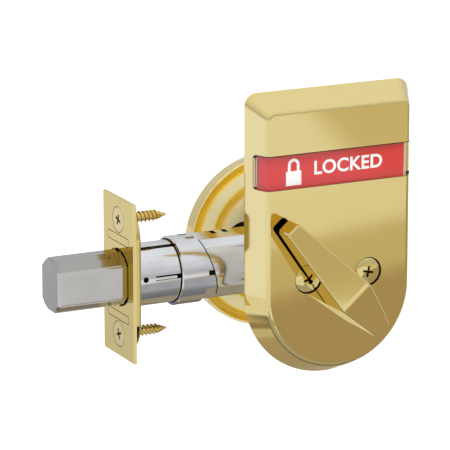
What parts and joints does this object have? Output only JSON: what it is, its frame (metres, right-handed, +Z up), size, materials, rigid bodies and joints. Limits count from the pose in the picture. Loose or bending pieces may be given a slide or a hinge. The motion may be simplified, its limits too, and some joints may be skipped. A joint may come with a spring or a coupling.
{
  "type": "deadbolt lock",
  "caption": "Tubular deadbolt with a D-shaped room-side escutcheon, a lock-state window, a lever thumbturn and a round street-side key cylinder.",
  "frame": {"origin": "where the bolt's centre line crosses the axis of the spindle and of the door's cross bore, midway through the door's thickness", "axes": "+X away from the door edge, so the bolt shoots towards -X; -Y faces the room and +Y the street; +Z up"},
  "size_m": [0.1278, 0.0821, 0.1032],
  "materials": {
    "polished_brass": "mirror polished and lacquered",
    "satin_bolt": "fine horizontal brushing, satin nickel",
    "bright_steel": "bright zinc plate",
    "plain_steel": "plain zinc-plated pressing",
    "dark_steel": "hardened, dull grey",
    "cast_zinc": "die-cast, dull",
    "clear_lens": "clear moulded plastic",
    "red_panel": "glossy red",
    "green_panel": "glossy green",
    "white_plastic": "moulded acetal"
  },
  "bodies": {
    "lock_body": {"escutcheon": "polished_brass", "back_plate": "plain_steel", "back_plate_screws": "plain_steel", "window_lens": "clear_lens", "spring_washer": "dark_steel", "through_bolts": "polished_brass", "faceplate": "polished_brass", "backing_cup": "polished_brass", "faceplate_screws": "polished_brass", "barrel": "bright_steel", "backset_collar": "bright_steel", "rear_case": "bright_steel", "hub_plate_room": "plain_steel", "hub_plate_street": "plain_steel", "case_rivets": "plain_steel", "rose": "polished_brass", "centring_disc": "polished_brass", "cylinder_housing": "polished_brass"},
    "bolt": {"bolt_head": "satin_bolt", "hardened_roller": "dark_steel", "tail_pin": "dark_steel", "bolt_tail": "plain_steel"},
    "thumbturn_set": {"thumbturn": "polished_brass", "spindle": "cast_zinc", "spindle_clip": "dark_steel", "indicator_arm": "white_plastic", "crank": "dark_steel", "drive_blade": "plain_steel"},
    "indicator": {"indicator_carriage": "white_plastic", "locked_panel": "red_panel", "unlocked_panel": "green_panel"},
    "key_cylinder": {"key_plug": "polished_brass", "plug_clip": "dark_steel"}
  },
  "joints": [
    {"name": "thumbturn_turn", "type": "hinge", "parent": "lock_body", "child": "thumbturn_set", "pos_m": [0, 0, 0], "axis": [0, 1, 0], "range_deg": [0, 90]},
    {"name": "bolt_throw", "type": "slide", "parent": "lock_body", "child": "bolt", "axis": [1, 0, 0], "range_m": [0, 0.0254]},
    {"name": "indicator_lift", "type": "slide", "parent": "lock_body", "child": "indicator", "axis": [0, 0, 1], "range_m": [0, 0.01257]},
    {"name": "key_turn", "type": "hinge", "parent": "lock_body", "child": "key_cylinder", "pos_m": [0, 0, 0], "axis": [0, 1, 0], "range_deg": [-90, 90]}
  ],
  "couplings": [
    {"joint": "thumbturn_turn", "follows": "bolt_throw", "rad_per_m": 61.842},
    {"joint": "indicator_lift", "follows": "bolt_throw", "ratio": 0.4947}
  ]
}
